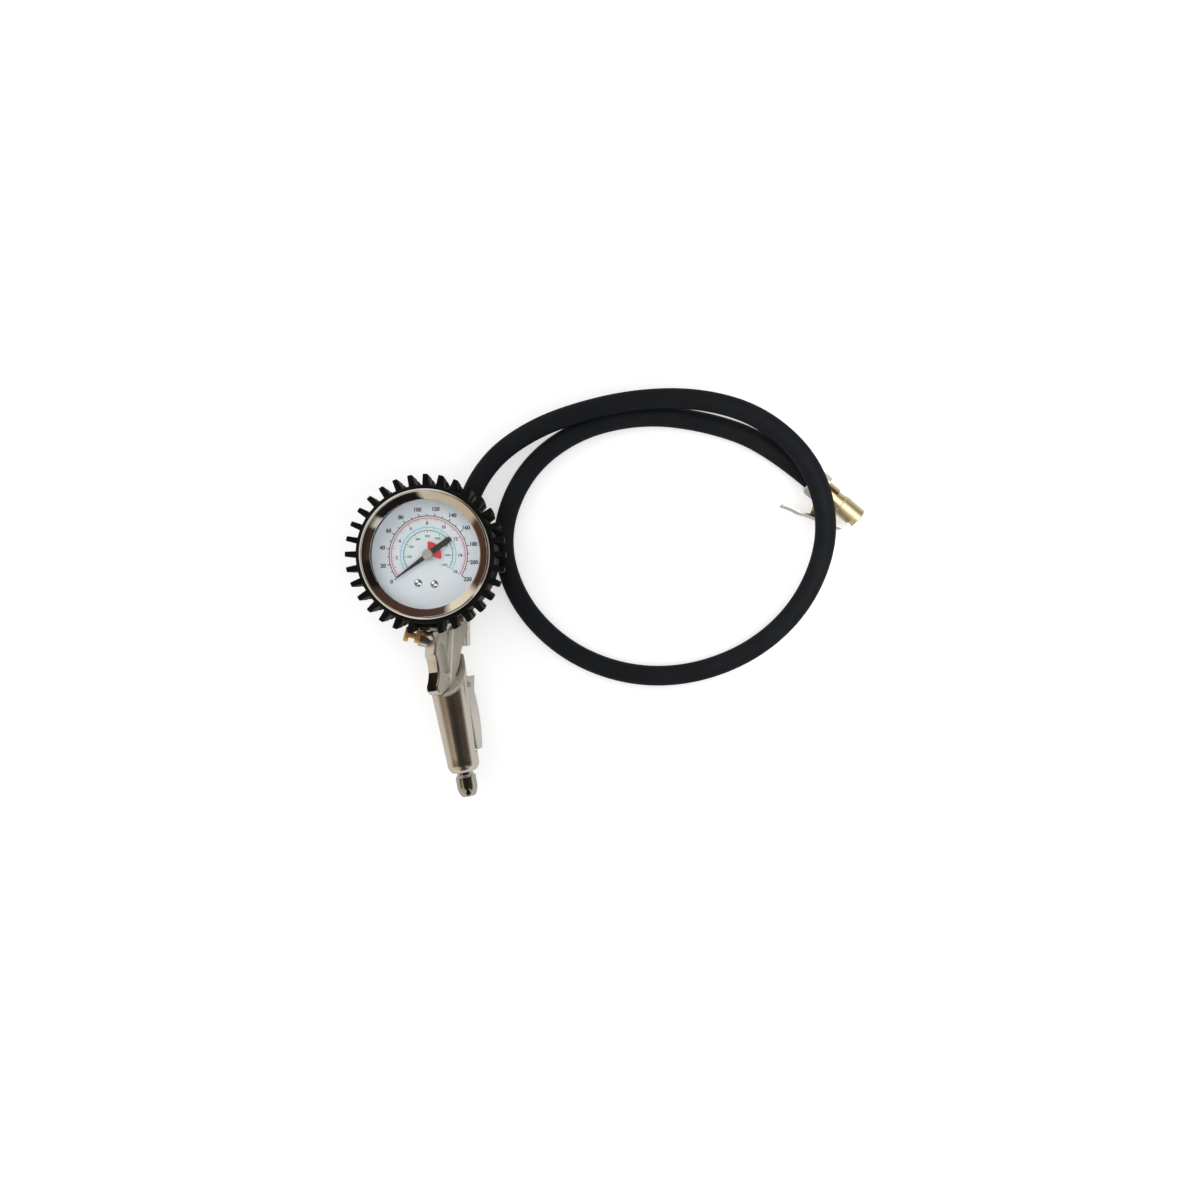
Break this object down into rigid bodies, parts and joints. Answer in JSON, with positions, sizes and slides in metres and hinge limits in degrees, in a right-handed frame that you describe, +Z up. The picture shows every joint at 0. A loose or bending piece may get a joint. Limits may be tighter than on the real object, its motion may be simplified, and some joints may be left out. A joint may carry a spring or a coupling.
{
  "type": "tyre inflator gun",
  "caption": "Air-line tyre inflator gun: die-cast grip with squeeze lever and bleed button, dial gauge in a ribbed rubber boot, air hose and brass clip-on valve chuck.",
  "frame": {"origin": "Table level under the middle of the gun and gauge together", "axes": "+Y from the air plug towards the gauge, +X to the side where the hose loop lies, +Z up out of the dial"},
  "size_m": [0.2739, 0.2181, 0.0476],
  "materials": {
    "boot_rubber": "matte moulded",
    "case_metal": "satin",
    "chrome": "polished",
    "glass": "clear",
    "seal_rubber": "matte",
    "dial_white": "matte",
    "steel": "satin",
    "pointer_black": "matte",
    "fan_red": "matte",
    "brass": "polished",
    "fibre": "matte",
    "plated_casting": "nickel-plated, satin",
    "plated_lever": "nickel-plated, polished",
    "plated_steel": "polished",
    "hose_rubber": "satin",
    "plated_nut": "nickel-plated",
    "clip_steel": "plated sheet"
  },
  "bodies": {
    "frame": {"rubber_boot": "boot_rubber", "gauge_case": "case_metal", "bezel_ring": "chrome", "lens": "glass", "lens_gasket": "seal_rubber", "dial_plate": "dial_white", "dial_screws": "steel", "sector_pivot_pin": "steel", "movement_back_plate": "brass", "movement_front_plate": "brass", "movement_pillars": "brass", "hairspring": "steel", "bourdon_tube": "brass", "tube_tip": "brass", "gauge_socket": "brass", "stem_washer": "fibre", "gun_body": "plated_casting", "trigger_pin": "steel", "valve_seat": "brass", "valve_gland": "brass", "gland_seal": "seal_rubber", "valve_spring": "steel", "bleed_bush": "brass", "inlet_plug": "plated_steel", "hose": "hose_rubber", "hose_barb": "brass", "hose_ferrule": "plated_steel", "chuck_nut": "plated_nut", "chuck_body": "brass", "chuck_seal": "seal_rubber", "depressor_pin": "brass", "clip_bracket": "brass", "clip_pin": "steel", "clip_spring": "steel"},
    "sector": {"sector_gear": "brass"},
    "pointer": {"pointer": "pointer_black", "pointer_fan": "fan_red", "pointer_cap": "steel", "pointer_arbor": "steel"},
    "link": {"movement_link": "brass"},
    "trigger": {"trigger_lever": "plated_lever"},
    "valve": {"valve_stem": "brass", "valve_face": "seal_rubber"},
    "bleed": {"bleed_button": "brass", "bleed_seal": "seal_rubber"},
    "clip": {"clip_lever": "clip_steel"}
  },
  "joints": [
    {"name": "sector_swing", "type": "hinge", "parent": "frame", "child": "sector", "pos_m": [0.0125, 0.03015, 0.0276], "axis": [0, 0, 1], "range_deg": [0, 31], "stiffness_Nm_per_rad": 0.005, "springref_deg": -17.19},
    {"name": "pointer_turn", "type": "hinge", "parent": "frame", "child": "pointer", "pos_m": [0, 0.0431, 0.03], "axis": [0, 0, 1], "range_deg": [-248, 0]},
    {"name": "link_slide", "type": "slide", "parent": "frame", "child": "link", "axis": [0.7193, 0.6947, 0], "range_m": [0, 0.00321]},
    {"name": "trigger_pivot", "type": "hinge", "parent": "frame", "child": "trigger", "pos_m": [0.01332, -0.0258, 0.01865], "axis": [-0.7878, -0.1389, -0.6], "range_deg": [0, 4.5], "stiffness_Nm_per_rad": 1, "springref_deg": -11.46},
    {"name": "valve_slide", "type": "slide", "parent": "frame", "child": "valve", "axis": [-0.5909, -0.1042, 0.8], "range_m": [0, 0.0017], "deforming": ["valve_spring"]},
    {"name": "bleed_slide", "type": "slide", "parent": "frame", "child": "bleed", "axis": [0.9327, -0.2675, -0.2419], "range_m": [0, 0.0012], "stiffness_N_per_m": 1500, "springref_m": -0.002},
    {"name": "clip_pivot", "type": "hinge", "parent": "frame", "child": "clip", "pos_m": [0.20712, 0.06704, 0.007], "axis": [0, 0, -1], "range_deg": [0, 20], "stiffness_Nm_per_rad": 0.25, "springref_deg": -17.19}
  ],
  "couplings": [
    {"joint": "pointer_turn", "follows": "sector_swing", "ratio": -8},
    {"joint": "link_slide", "follows": "sector_swing", "m_per_rad": 0.0059271},
    {"joint": "valve_slide", "follows": "trigger_pivot", "m_per_rad": 0.0215}
  ]
}
